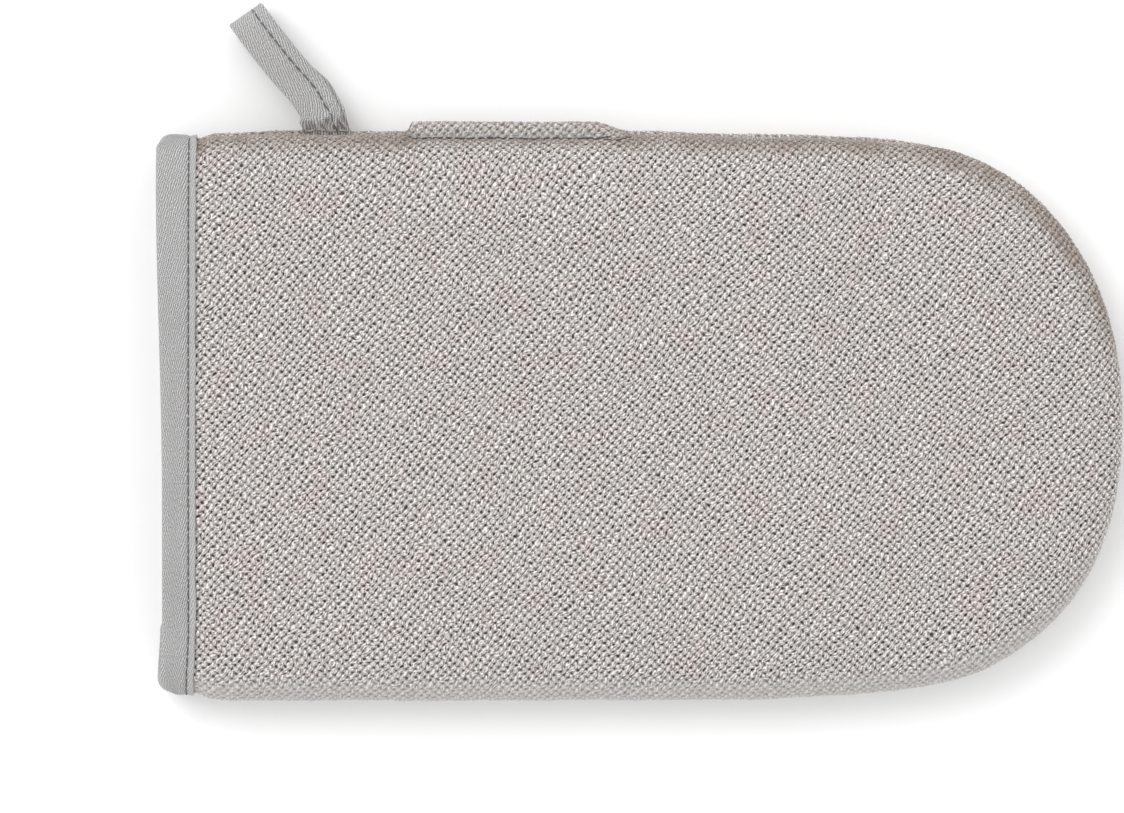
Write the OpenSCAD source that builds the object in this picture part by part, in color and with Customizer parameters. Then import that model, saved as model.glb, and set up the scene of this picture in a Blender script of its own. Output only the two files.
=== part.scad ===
// Thumbless padded heat mitt, lying on its back with the palm side up.
// Millimetres. The origin is on the resting plane under the middle of the outline:
// +X runs from the cuff to the fingertips, +Y towards the hanging loop, +Z up to the palm.
// Every wall is a stack of plies, and each ply is the space between two insets of one outer form.

/* [Outline] */
// Length from the cuff edge to the fingertip edge
mitt_length = 240; // [220:1:260]
// Width across the two side seams
mitt_width = 141; // [130:1:155]
// Length of the rounded finger end
finger_end = 70; // [60:1:80]
// Squareness of the finger end, where 2 is an ellipse
outline_power = 2.25; // [2:0.05:2.6]

/* [Thickness] */
// Height of the side seam above the resting plane
seam_height = 11; // [10:0.5:14]
// Height of the palm above the side seam
palm_height = 13; // [11:0.5:16]
// Squareness of the cross section, where 2 is an ellipse
section_power = 3.2; // [2.6:0.1:3.6]
// How much lower the palm is at the cuff, as a share
cuff_flattening = 0.1; // [0:0.01:0.15]

/* [Plies] */
// Thickness of the woven outer shell
shell_ply = 1.4; // [1:0.1:1.8]
// Thickness of the heat barrier film
barrier_ply = 0.3; // [0.2:0.05:0.4]
// Thickness of the felted batting
batting_ply = 3.2; // [2.4:0.1:3.6]
// Thickness of the cotton lining
lining_ply = 0.6; // [0.5:0.05:0.8]
// Air left between neighbouring plies
ply_gap = 0.1; // [0.08:0.01:0.15]

/* [Cuff binding] */
// Width of the binding on each face of the cuff
binding_leg = 10; // [8:0.5:12]
// Thickness of the twill tape on the cuff
binding_tape = 0.9; // [0.7:0.1:1.1]
// Distance of the stitch row from the binding's edge
binding_stitch_inset = 1.8; // [1.5:0.1:2.5]

/* [Turning gap] */
// Where the hand-closed gap in the side seam starts
gap_start = -57; // [-65:1:-50]
// Length of the closed gap
gap_length = 49; // [40:1:55]
// How far the folded edges of the gap stand out of the seam
gap_ridge = 2.8; // [2:0.1:3.5]

/* [Hanging loop] */
// Width of the loop's tape
loop_width = 10; // [8:0.5:12]
// Thickness of one ply of the loop's tape
loop_tape = 1.2; // [0.9:0.1:1.4]
// Length of the loop from its root to the centre of its end bend
loop_reach = 29; // [26:1:34]
// Outer radius of the end bend
loop_bend = 5; // [4.5:0.1:5.5]
// Place of the loop's root along the side seam
loop_root_x = -77.6; // [-85:0.1:-70]
// Angle that the loop hangs below the seam plane
loop_droop = 12; // [10:0.5:13]

/* [Hidden] */

PALM = 1;
BACK = -1;

cuff_x = -mitt_length / 2;
end_x = mitt_length / 2 - finger_end;
end_power = 6;
back_fullness = 1.06;
seam_gap = 0.05;

// Insets of the faces of each ply, from the outer form inwards
barrier_inset = shell_ply + ply_gap;
batting_inset = barrier_inset + barrier_ply + ply_gap;
lining_inset = batting_inset + batting_ply + ply_gap;
wall = lining_inset + lining_ply;

// The plies are pressed thinner where the binding grips them
grip_end = binding_leg + 0.4;
grip_release = 4;
grip_inset = binding_tape + ply_gap;
grip_squeeze = (wall - 2 * grip_inset) / wall;
ply_start = 1.1;

// Depth of the ditch that the seam thread lies in
shell_ditch = 0.8;
lining_ditch = 0.45;

gap_ramp = 4;

thread_radius = 0.22;
fine_thread = 0.2;
lining_thread = 0.15;
seam_thread_inset = 0.35;
loop_thread_inset = 0.22;
thread_fill = 0.72;
stitch_pitch = 3.2;
thread_fn = 16;

// Stations along the mitt as [x, angle], where the angle counts only round the finger end
stations = concat(
    [for (x = [
        cuff_x + ply_start, cuff_x + grip_end, cuff_x + grip_end + grip_release,
        gap_start - gap_ramp, gap_start, gap_start + gap_length,
        gap_start + gap_length + gap_ramp, 20, end_x
    ]) [x, 0]],
    [for (angle = [10 : 10 : 80]) [end_x, angle]],
    [[end_x, 86]]
);
tip_station = [end_x, 90];

// Angles round one half of the cross section, from the +Y seam over the middle to the -Y seam
section_angles = [
    0, 2.5, 6, 12, 22, 36, 52, 70, 90, 110, 128, 144, 158, 168, 174, 177.5, 180
];
rows = len(stations);
cols = len(section_angles);

function signed_power(value, power) = sign(value) * pow(abs(value), power);
function smooth(value) = let (v = max(0, min(1, value))) v * v * (3 - 2 * v);

function station_x(station, inset) =
    station[0] + (station[1] > 0 ? (finger_end - inset) * pow(sin(station[1]), 2 / outline_power) : 0);
function station_half_width(station, inset) =
    (mitt_width / 2 - inset) * pow(cos(station[1]), 2 / outline_power);

// The palm slopes down a little towards the cuff, and the back stays flat
function cuff_share(x) =
    1 - cuff_flattening * max(0, min(1, (gap_start - gap_ramp - x) / (gap_start - gap_ramp - cuff_x)));
function side_height(station, inset, side) =
    ((side == PALM ? palm_height * cuff_share(station[0]) : seam_height) - inset)
    * pow(cos(station[1]), 2 / end_power);
function section_rise(angle, side) =
    let (rise = pow(sin(angle), 2 / section_power))
    side == PALM ? rise : min(1, back_fullness * rise);

// A point of the form that lies inset inside the outer one
function form_point(station, angle, inset, side, gap = 0) =
    let (rise = section_rise(angle, side))
    [
        station_x(station, inset),
        station_half_width(station, inset) * signed_power(cos(angle), 2 / section_power),
        seam_height + side * (gap + (side_height(station, inset, side) - gap) * rise)
    ];

// The folded edges of the closed gap stand out of the +Y seam
function ridge(station, angle) =
    let (along = station[1] == 0 && station[0] >= gap_start && station[0] <= gap_start + gap_length)
    along ? gap_ridge * (angle <= 2.5 ? 1 : angle <= 6 ? 0.4 : 0) : 0;

function gripped(station, inset) =
    station[1] == 0 && station[0] <= cuff_x + grip_end
    ? grip_inset + inset * grip_squeeze : inset;

function ply_point(station, angle, inset, side, ditch, ridged) =
    let (at_seam = angle == 0 || angle == 180)
    let (depth = gripped(station, inset) + (at_seam ? ditch : 0))
    form_point(station, angle, depth, side, seam_gap)
    + [0, ridged ? ridge(station, angle) : 0, 0];

function ply_surface(inset, side, ditch, ridged) = concat(
    [for (station = stations) for (angle = section_angles)
        ply_point(station, angle, inset, side, ditch, ridged)],
    [ply_point(tip_station, 0, inset, side, ditch, ridged)]
);

function reversed(list) = [for (i = [len(list) - 1 : -1 : 0]) list[i]];

// Faces of a ply: its outer sheet, its inner sheet, the cuff edge and the two seam edges
function ply_faces() =
    let (size = rows * cols + 1, tip = rows * cols, last = rows - 1, end = cols - 1)
    concat(
        [for (i = [0 : last - 1]) for (j = [0 : end - 1]) for (half = [0, 1])
            let (a = i * cols + j, b = a + cols)
            half == 0 ? [a, b, b + 1] : [a, b + 1, a + 1]],
        [for (j = [0 : end - 1]) [last * cols + j, tip, last * cols + j + 1]],
        [for (i = [0 : last - 1]) for (j = [0 : end - 1]) for (half = [0, 1])
            let (a = size + i * cols + j, b = a + cols)
            half == 0 ? [a, b + 1, b] : [a, a + 1, b + 1]],
        [for (j = [0 : end - 1])
            [size + last * cols + j, size + last * cols + j + 1, size + tip]],
        [for (j = [0 : end - 1]) [j, j + 1, size + j + 1, size + j]],
        [for (i = [0 : last])
            let (a = i * cols, b = i == last ? tip : a + cols)
            [b, a, size + a, size + b]],
        [for (i = [0 : last])
            let (a = i * cols + end, b = i == last ? tip : a + cols)
            [a, b, size + b, size + a]]
    );

// One half of a ply, between two insets
module ply(side, outer, inner, outer_ditch = 0, inner_ditch = 0, ridged = false) {
    faces = ply_faces();
    polyhedron(
        points = concat(
            ply_surface(outer, side, outer_ditch, ridged),
            ply_surface(inner, side, inner_ditch, false)
        ),
        faces = side == PALM ? faces : [for (face = faces) reversed(face)],
        convexity = 6
    );
}

// A straight length of thread
module thread(from, to, radius) {
    run = to - from;
    translate(from)
        rotate([0, acos(run[2] / norm(run)), atan2(run[1], run[0])])
            cylinder(h = norm(run), r = radius, $fn = thread_fn);
}

// A row of separate stitches along a line of points
module stitch_row(line, radius) {
    for (i = [0 : len(line) - 2]) {
        span = line[i + 1] - line[i];
        count = max(1, round(norm(span) / stitch_pitch));
        for (k = [0 : count - 1])
            thread(
                line[i] + span * (k + (1 - thread_fill) / 2) / count,
                line[i] + span * (k + (1 + thread_fill) / 2) / count,
                radius
            );
    }
}

module palm_shell() {
    color([0.74, 0.71, 0.70]) ply(PALM, 0, shell_ply, shell_ditch, 0, true);
}

module back_shell() {
    color([0.74, 0.71, 0.70]) ply(BACK, 0, shell_ply, shell_ditch, 0, true);
}

module palm_heat_barrier() {
    color([0.80, 0.80, 0.82]) ply(PALM, barrier_inset, barrier_inset + barrier_ply);
}

module back_heat_barrier() {
    color([0.80, 0.80, 0.82]) ply(BACK, barrier_inset, barrier_inset + barrier_ply);
}

module palm_batting() {
    color([0.93, 0.92, 0.88]) ply(PALM, batting_inset, batting_inset + batting_ply);
}

module back_batting() {
    color([0.93, 0.92, 0.88]) ply(BACK, batting_inset, batting_inset + batting_ply);
}

module palm_lining() {
    color([0.85, 0.84, 0.82]) ply(PALM, lining_inset, wall, 0, -lining_ditch);
}

module back_lining() {
    color([0.85, 0.84, 0.82]) ply(BACK, lining_inset, wall, 0, -lining_ditch);
}

// Binding section as [distance from the cuff edge, inset]: a U over the edge of the wall,
// with a shallow groove on each face for the stitch row
stitch_x = binding_leg - binding_stitch_inset;
groove_half = 0.45;
groove_depth = 0.5;
edge_round = 0.6;
binding_section = [
    [binding_leg, 0],
    [stitch_x + groove_half, 0],
    [stitch_x + groove_half, groove_depth],
    [stitch_x - groove_half, groove_depth],
    [stitch_x - groove_half, 0],
    [edge_round, 0],
    [0, edge_round],
    [0, wall - edge_round],
    [edge_round, wall],
    [stitch_x - groove_half, wall],
    [stitch_x - groove_half, wall - groove_depth],
    [stitch_x + groove_half, wall - groove_depth],
    [stitch_x + groove_half, wall],
    [binding_leg, wall],
    [binding_leg, wall - binding_tape],
    [ply_start - ply_gap, wall - binding_tape],
    [ply_start - ply_gap, binding_tape],
    [binding_leg, binding_tape]
];

// Places round the mouth as [angle, side], once round
mouth_places = concat(
    [for (angle = section_angles) [angle, PALM]],
    [for (j = [cols - 2 : -1 : 1]) [section_angles[j], BACK]]
);
function mouth_point(place, offset, inset) =
    form_point([cuff_x + offset, 0], place[0], inset, place[1]);

// Twill tape folded over the raw edge of every ply at the mouth
module cuff_binding() {
    ring = len(binding_section);
    places = len(mouth_places);
    color([0.60, 0.60, 0.60]) polyhedron(
        points = [for (place = mouth_places) for (corner = binding_section)
            mouth_point(place, corner[0], corner[1])],
        faces = [for (j = [0 : places - 1]) for (k = [0 : ring - 1]) for (half = [0, 1])
            let (
                a = j * ring + k,
                b = j * ring + (k + 1) % ring,
                c = ((j + 1) % places) * ring + (k + 1) % ring,
                d = ((j + 1) % places) * ring + k
            )
            half == 0 ? [a, d, c] : [a, c, b]],
        convexity = 6
    );
}

module cuff_binding_stitches() {
    outer_depth = fine_thread;
    inner_depth = wall - fine_thread;
    color([0.36, 0.36, 0.37]) for (depth = [outer_depth, inner_depth])
        stitch_row(
            [for (j = [0 : len(mouth_places)])
                mouth_point(mouth_places[j % len(mouth_places)], stitch_x, depth)],
            fine_thread
        );
}

// Points of a side seam from the cuff to the tip, at one inset, on the +Y or the -Y side
function seam_point(station, inset, way) = [
    station_x(station, inset),
    way * station_half_width(station, inset),
    seam_height
];

// True where the +Y seam is taken up by the loop's root or by the closed gap
loop_root_half = 6.2;
function seam_is_free(x, way) =
    way < 0 || x < loop_root_x - loop_root_half || x > gap_start + gap_length;

function line_between(from, to, depth, way) = [
    seam_point([from, 0], depth, way), seam_point([to, 0], depth, way)
];
function end_line(depth, way) = [
    for (station = concat([for (s = stations) if (s[0] >= end_x) s], [tip_station]))
        seam_point(station, depth, way)
];

// Lockstitches in the ditch between the palm shell and the back shell
module side_seam_stitches() {
    depth = seam_thread_inset;
    seam_start = cuff_x + grip_end + grip_release;
    gap_end = gap_start + gap_length + gap_ramp;
    color([0.58, 0.55, 0.54]) {
        stitch_row(line_between(seam_start, loop_root_x - loop_root_half, depth, 1), thread_radius);
        stitch_row(line_between(loop_root_x + loop_root_half, gap_start - gap_ramp, depth, 1),
            thread_radius);
        stitch_row(line_between(gap_end, end_x, depth, 1), thread_radius);
        stitch_row(line_between(seam_start, end_x, depth, -1), thread_radius);
        for (way = [-1, 1]) stitch_row(end_line(depth, way), thread_radius);
    }
}

// Stitches of the lining's own side seam, inside the hand space
module lining_seam_stitches() {
    depth = wall - lining_thread;
    seam_start = cuff_x + grip_end + grip_release;
    color([0.78, 0.77, 0.75]) for (way = [-1, 1]) {
        stitch_row(line_between(seam_start, end_x, depth, way), lining_thread);
        stitch_row(end_line(depth, way), lining_thread);
    }
}

// A point just above the shell, midway between two section angles
function above_shell(x, first, second, side, lift) =
    let (
        a = form_point([x, 0], first, 0, side, seam_gap),
        b = form_point([x, 0], second, 0, side, seam_gap),
        slope = b - a,
        outwards = side * [0, slope[2], -slope[1]] / norm(slope)
    )
    (a + b) / 2 + outwards * lift;

// Topstitching that closes the turning gap through both folded edges, with a back tack
module gap_closure_stitches() {
    lift = thread_radius + 0.03;
    tack_length = 6;
    tack_rise = 2;
    gap_end = gap_start + gap_length;
    color([0.34, 0.30, 0.32]) for (side = [PALM, BACK]) {
        stitch_row([
            above_shell(gap_start + 1, section_angles[3], section_angles[4], side, lift),
            above_shell(gap_end - 1, section_angles[3], section_angles[4], side, lift)
        ], thread_radius);
        stitch_row([
            above_shell(gap_end - tack_length - 2, section_angles[3], section_angles[4], side,
                lift + tack_rise * thread_radius),
            above_shell(gap_end - 2, section_angles[3], section_angles[4], side,
                lift + tack_rise * thread_radius)
        ], thread_radius);
    }
}

// Hanging loop, worked out flat in the seam plane and then turned down by its droop.
// Its hinge line is the middle of its rounded root, just off the side seam.
loop_root_radius = 1.5;
loop_clearance = 0.3;
hinge_y = mitt_width / 2 + loop_root_radius + loop_clearance;
loop_start_angle = 112;
loop_end_angle = 126.2;
loop_curve = 10;
loop_turn = (loop_end_angle - loop_start_angle) * PI / 180 / loop_curve;

// Heading of the tape at a distance from the root
function loop_heading(s) =
    s < 0 ? loop_start_angle
    : s < loop_curve ? loop_start_angle + (loop_end_angle - loop_start_angle) * s / loop_curve
    : loop_end_angle;
function curve_place(heading) = [
    (sin(heading) - sin(loop_start_angle)) / loop_turn,
    -(cos(heading) - cos(loop_start_angle)) / loop_turn
];
function loop_centre(s) =
    s < 0 ? s * [cos(loop_start_angle), sin(loop_start_angle)]
    : s < loop_curve ? curve_place(loop_heading(s))
    : curve_place(loop_end_angle) + (s - loop_curve) * [cos(loop_end_angle), sin(loop_end_angle)];

// Direction across the tape: along the seam at the root, square to the tape beyond it
function loop_across(s) =
    let (
        share = smooth(s / loop_curve),
        square_on = [sin(loop_heading(s)), -cos(loop_heading(s))],
        mixed = (1 - share) * [1 / sin(loop_start_angle), 0] + share * square_on
    )
    mixed;

// Point of the loop from its distance s, its place v across and its height z
function loop_point(s, v, z) =
    let (
        flat = loop_centre(s) + v * loop_across(s),
        up = z * cos(loop_droop) - flat[1] * sin(loop_droop),
        out = z * sin(loop_droop) + flat[1] * cos(loop_droop)
    )
    [loop_root_x + flat[0], hinge_y + out, seam_height + up];

function loop_half_height(s) =
    loop_root_radius + (loop_bend - loop_root_radius) * smooth(s / loop_reach);

// Upper half of the loop's side view, from the root to the end bend, as [s, z]
bend_steps = [90, 75, 60, 45, 30, 15, 0];
outer_upper = concat(
    [for (angle = [180, 150, 120, 90])
        loop_root_radius * [cos(angle), sin(angle)]],
    [for (s = [4, 9, 14, 19, 24]) [s, loop_half_height(s)]],
    [for (angle = bend_steps) [loop_reach, 0] + loop_bend * [cos(angle), sin(angle)]]
);
eye_start = 6.5;
eye_corner = 0.35;
inner_upper = concat(
    [for (angle = [180, 150, 120, 90])
        [eye_start, 0] + eye_corner * [cos(angle), sin(angle)]],
    [for (s = [8, 11, 15, 19, 24]) [s, loop_half_height(s) - loop_tape]],
    [for (angle = bend_steps)
        [loop_reach, 0] + (loop_bend - loop_tape) * [cos(angle), sin(angle)]]
);
function whole_contour(upper) = concat(
    upper,
    [for (i = [len(upper) - 2 : -1 : 1]) [upper[i][0], -upper[i][1]]]
);

// Twill tape folded into a loop, with its two ends together at the root
module hanging_loop() {
    outer = whole_contour(outer_upper);
    inner = whole_contour(inner_upper);
    count = len(outer);
    half = loop_width / 2;
    color([0.60, 0.60, 0.60]) polyhedron(
        points = concat(
            [for (p = outer) loop_point(p[0], -half, p[1])],
            [for (p = outer) loop_point(p[0], half, p[1])],
            [for (p = inner) loop_point(p[0], -half, p[1])],
            [for (p = inner) loop_point(p[0], half, p[1])]
        ),
        faces = [for (i = [0 : count - 1]) for (strip = [0 : 3]) for (part = [0, 1])
            let (
                next = (i + 1) % count,
                first = [0, 1, 3, 2][strip] * count,
                second = [1, 3, 2, 0][strip] * count,
                corners = [first + i, first + next, second + next, second + i]
            )
            part == 0 ? [corners[0], corners[1], corners[2]]
            : [corners[0], corners[2], corners[3]]],
        convexity = 6
    );
}

// Edge stitching along both plies of the loop, nearer its fingertip edge
module loop_edge_stitches() {
    place = loop_width / 2 - 3;
    lift = fine_thread + 0.05;
    color([0.36, 0.36, 0.37]) for (face = [-1, 1])
        stitch_row(
            [for (s = [4, 9, 14, 19, 24])
                loop_point(s, place, face * (loop_half_height(s) + lift))],
            fine_thread
        );
}

// Double row that holds the loop's root in the side seam
module loop_root_stitches() {
    row_spread = thread_radius + 0.02;
    color([0.58, 0.55, 0.54]) for (row = [-1, 1])
        translate([0, 0, row * row_spread])
            stitch_row(
                line_between(loop_root_x - loop_root_half + 1, loop_root_x + loop_root_half - 1,
                    loop_thread_inset, 1),
                thread_radius
            );
}

palm_shell();
back_shell();
palm_heat_barrier();
back_heat_barrier();
palm_batting();
back_batting();
palm_lining();
back_lining();
cuff_binding();
cuff_binding_stitches();
side_seam_stitches();
lining_seam_stitches();
gap_closure_stitches();
hanging_loop();
loop_edge_stitches();
loop_root_stitches();
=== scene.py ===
"""Looks of a thumbless padded heat mitt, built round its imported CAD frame.

Lengths are in millimetres up to mesh_piece(), which turns them into metres. The cloth of each ply
starts as a flat grid, and lay() rolls it over the mitt's edge into the place of its CAD solid.
"""
import math

import bmesh
import bpy
import numpy as np
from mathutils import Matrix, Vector


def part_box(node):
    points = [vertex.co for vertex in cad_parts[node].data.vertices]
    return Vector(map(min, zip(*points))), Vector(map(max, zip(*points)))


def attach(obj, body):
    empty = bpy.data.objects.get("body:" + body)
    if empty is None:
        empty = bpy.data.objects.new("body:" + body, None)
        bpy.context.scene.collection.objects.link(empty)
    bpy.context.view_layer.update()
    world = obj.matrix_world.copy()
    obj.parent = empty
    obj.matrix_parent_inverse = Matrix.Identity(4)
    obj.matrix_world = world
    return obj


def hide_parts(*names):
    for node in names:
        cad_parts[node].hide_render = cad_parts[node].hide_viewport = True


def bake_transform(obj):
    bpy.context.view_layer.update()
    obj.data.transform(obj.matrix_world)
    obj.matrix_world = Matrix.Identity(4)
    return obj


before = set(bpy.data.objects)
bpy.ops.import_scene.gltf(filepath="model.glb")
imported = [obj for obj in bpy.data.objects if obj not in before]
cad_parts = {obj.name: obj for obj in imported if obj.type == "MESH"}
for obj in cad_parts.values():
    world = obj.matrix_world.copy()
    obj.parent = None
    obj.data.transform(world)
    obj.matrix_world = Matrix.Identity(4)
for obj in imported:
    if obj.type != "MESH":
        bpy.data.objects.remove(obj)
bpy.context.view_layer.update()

MM = 0.001


# ---- sizes

def box_mm(node):
    low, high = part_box(node)
    return np.array(low) / MM, np.array(high) / MM


PALM_LOW, PALM_HIGH = box_mm("palm_shell")
BACK_LOW, BACK_HIGH = box_mm("back_shell")
BINDING_LOW, BINDING_HIGH = box_mm("cuff_binding")

CUFF_X = BINDING_LOW[0]
TIP_X = -CUFF_X
HALF_WIDTH = BINDING_HIGH[1]
SEAM_Z = (PALM_LOW[2] + BACK_HIGH[2]) / 2
PALM_RISE = PALM_HIGH[2] - SEAM_Z
BACK_DROP = SEAM_Z - BACK_LOW[2]
WALL = 5.8

# The form's rules, as in the CAD
FINGER_END = 70
END_X = TIP_X - FINGER_END
OUTLINE_POWER = 2.25
SECTION_POWER = 3.2
BACK_FULLNESS = 1.06
CUFF_FLATTENING = 0.1
FLATTENING_END = -61
PLY_START = 1.1
GRIP_END = 10.4
GRIP_RELEASE = 4
GRIP_INSET = 1.0
GRIP_SQUEEZE = (WALL - 2 * GRIP_INSET) / WALL

PALM, BACK = 1, -1

# Insets of the outer and inner face of each ply
SHELL_PLY = (0, 1.4)
BARRIER_PLY = (1.5, 1.8)
BATTING_PLY = (1.9, 5.1)
LINING_PLY = (5.2, 5.8)

# How far the +Y seam is turned over the edge, and pulled in further at the loop
SEAM_TURN_IN, SEAM_TURN_UP = 1.1, 1.8
LOOP_NOTCH = 0.2

# Cloth
YARN = 1.1
WEAVE_TURN = math.radians(4)
PALM_SAMPLES, BACK_SAMPLES = 3, 2  # per yarn
YARN_SHIFT = 0.2
RELIEF = 0.29
PLY_STEP, LINING_STEP = 3.0, 1.6

# Unevenness of the whole mitt, as depth and wavelength
OUTLINE_WOBBLE = (0.22, 26)
BROAD_HOLLOWS, SMALL_HOLLOWS = (0.45, 60), (0.18, 22)

# The topstitched turning gap in the +Y seam
GAP_START, GAP_END = -57, -8
GAP_RIDGE = 2.3
GAP_ARC = 26  # how far from the seam the fin's shape reaches
GAP_STITCH_ARC = 5.9

# Threads
DARK_THREAD, GAP_THREAD, SEAM_THREAD, LINING_THREAD = 0.14, 0.24, 0.22, 0.15  # radii
SEAM_PITCH = 3.2
SEAM_STITCH_INSET, LINING_STITCH_INSET = 0.45, WALL - 0.1
CUFF_STITCH_START = CUFF_X + 14.4
STITCH_POINTS = 9
STITCH_DIP = 0.2 * np.abs(np.linspace(-1, 1, STITCH_POINTS)) ** 4

# Binding, as distances from the cuff edge
LEG = 10.1
BINDING_TAPE = 0.9
BINDING_STITCH = 8.3
BINDING_PITCH = 2.9
MOUTH_STEP = 0.5

# Hanging loop, worked out flat in the seam plane and then turned down by its droop
LOOP_ROOT_X = -77.6
LOOP_ROOT = 1.5
LOOP_HINGE_Y = HALF_WIDTH + LOOP_ROOT + 0.3
LOOP_START, LOOP_END = 112, 126.2
LOOP_CURVE = 10
LOOP_DROOP = 12
LOOP_WIDTH = 10
LOOP_TAPE = 1.2
LOOP_BEND = 5
LOOP_REACH = 30.3
LOOP_STITCH = 2.0
LOOP_PITCH = 2.8
LOOP_STEP = 0.4
LOOP_HIDDEN = 3.2  # length of its root inside the seam
LOOP_GAP = 6.2  # half the gap that the side seam's stitches leave for it


def smoothstep(value, low, high):
    t = np.clip((value - low) / (high - low), 0, 1)
    return t * t * (3 - 2 * t)


def path_lengths(points):
    """Distance along a line of points, from 0 at its first one."""
    return np.concatenate([[0], np.cumsum(np.linalg.norm(np.diff(points, axis=0), axis=1))])


def points_at(at, along, points):
    """Points at distances along a line of points."""
    return np.stack([np.interp(at, along, column) for column in np.transpose(points)], 1)


def normalised(vectors):
    return vectors / np.linalg.norm(vectors, axis=1)[:, None]


def waves(x, y, wavelength, seed, count=14):
    """A smooth random field of about -1 to 1 over the points."""
    random = np.random.default_rng(seed)
    heading = random.uniform(0, 2 * math.pi, count)
    number = 2 * math.pi / (wavelength * random.uniform(0.7, 1.5, count))
    phase = random.uniform(0, 2 * math.pi, count)
    total = sum(
        np.sin(k * (x * math.cos(a) + y * math.sin(a)) + p) for k, a, p in zip(number, heading, phase)
    )
    return total / math.sqrt(2 * count)


def cell_noise(i, j, seed):
    """One number from 0 to 1 for each whole-number cell."""
    mixed = (i.astype(np.int64) * 73856093) ^ (j.astype(np.int64) * 19349663) ^ (seed * 83492791)
    mixed = (mixed ^ (mixed >> 13)) * 1274126177
    return ((mixed ^ (mixed >> 16)) & 0xFFFF) / 0xFFFF


# ---- the mitt's form

def outline_table(spacing=0.25, straight=30):
    """Points of the side seam in plan round the finger end, inward directions and arc lengths."""
    angle = np.linspace(-math.pi / 2, math.pi / 2, 6001)
    x = END_X + FINGER_END * np.abs(np.cos(angle)) ** (2 / OUTLINE_POWER)
    y = HALF_WIDTH * np.sign(np.sin(angle)) * np.abs(np.sin(angle)) ** (2 / OUTLINE_POWER)
    x = np.concatenate([[END_X - straight], x, [END_X - straight]])
    y = np.concatenate([[-HALF_WIDTH], y, [HALF_WIDTH]])
    line = np.stack([x, y], 1)
    along = path_lengths(line)
    at = np.arange(0, along[-1], spacing)
    line = points_at(at, along, line)
    ahead = normalised(np.gradient(line, axis=0))
    return line, np.stack([-ahead[:, 1], ahead[:, 0]], 1), at


OUTLINE, OUTLINE_INWARD, OUTLINE_ALONG = outline_table()


def seam_distance(plan):
    """How far plan points lie inside the side seam, the way in, and the place along the seam."""
    x, y = plan[:, 0], plan[:, 1]
    side = np.where(y < 0, -1.0, 1.0)
    distance = HALF_WIDTH - np.abs(y)
    inward = np.stack([np.zeros_like(x), -side], 1)
    length = OUTLINE_ALONG[-1]
    along = np.where(y < 0, x - (END_X - 30), length - (x - (END_X - 30)))
    curved = np.flatnonzero(x > END_X - 8)
    for part in np.array_split(curved, max(1, len(curved) // 3000)):
        gap = ((plan[part, None, :] - OUTLINE[None, :, :]) ** 2).sum(2)
        nearest = gap.argmin(1)
        inward[part] = OUTLINE_INWARD[nearest]
        distance[part] = ((plan[part] - OUTLINE[nearest]) * inward[part]).sum(1)
        along[part] = OUTLINE_ALONG[nearest]
    return distance, inward, along


class Roll:
    """How a ply's cloth rolls over the edge: plan inset and rise against arc length from the seam."""

    def __init__(self, side, inset):
        self.half_width = HALF_WIDTH - inset
        share = np.linspace(0, 1, 3000) ** 2
        lift = (1 - (1 - share) ** SECTION_POWER) ** (1 / SECTION_POWER)
        if side == BACK:
            lift = np.minimum(1, BACK_FULLNESS * lift)
        self.inset = share * self.half_width
        self.full = PALM_RISE if side == PALM else BACK_DROP
        self.rise = (self.full - inset) * lift
        self.arc = path_lengths(np.stack([self.inset, self.rise], 1))
        self.extra = self.arc[-1] - self.half_width

    def at(self, arc):
        arc = np.clip(arc, 0, self.arc[-1])
        ahead, behind = np.minimum(arc + 0.2, self.arc[-1]), np.maximum(arc - 0.2, 0)
        inset, rise = np.interp(arc, self.arc, self.inset), np.interp(arc, self.arc, self.rise)
        run = np.interp(ahead, self.arc, self.inset) - np.interp(behind, self.arc, self.inset)
        climb = np.interp(ahead, self.arc, self.rise) - np.interp(behind, self.arc, self.rise)
        size = np.hypot(run, climb)
        return inset, rise, run / size, climb / size


def gap_weight(x, arc):
    """1 along the closed turning gap: square at the cuff side, tapered at the other, blurred inwards."""
    blur = 0.7 + 9 * smoothstep(arc, 4.5, 14)
    start = smoothstep(x, GAP_START - blur, GAP_START + blur)
    return start * (1 - smoothstep(x, GAP_END - 3 - blur, GAP_END + 6 + blur))


def gap_profile(roll):
    """Inset and rise against arc length where the folded edges stand out as a flat, stitched fin."""
    end_inset, end_rise, _, _ = roll.at(np.array([GAP_ARC]))
    arc = np.array([0, 0.8, 1.7, 2.9, 4.4, 5.4, GAP_STITCH_ARC, 6.4, 8.3, 11.5, 15.5, GAP_ARC])
    inset = np.array([-1, -0.94, -0.74, -0.35, 0.3, 0.7, 0.87, 1, 1.26, 2.1, 3.6, 0]) * GAP_RIDGE
    rise = np.array([0, 0.9, 1.6, 1.95, 1.95, 1.7, 1.4, 1.7, 3.4, 6.0, 8.2, 0])
    inset[-1], rise[-1] = end_inset[0], end_rise[0]
    fine = np.linspace(0, GAP_ARC, 261)
    blur = np.exp(-np.linspace(-2, 2, 9) ** 2)
    blur /= blur.sum()
    soft = [np.convolve(np.pad(np.interp(fine, arc, v), 4, mode="edge"), blur, mode="valid")
            for v in (inset, rise)]
    return fine, soft[0], soft[1]


def cuff_share(x):
    return 1 - CUFF_FLATTENING * np.clip((FLATTENING_END - x) / (FLATTENING_END - CUFF_X), 0, 1)


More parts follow.
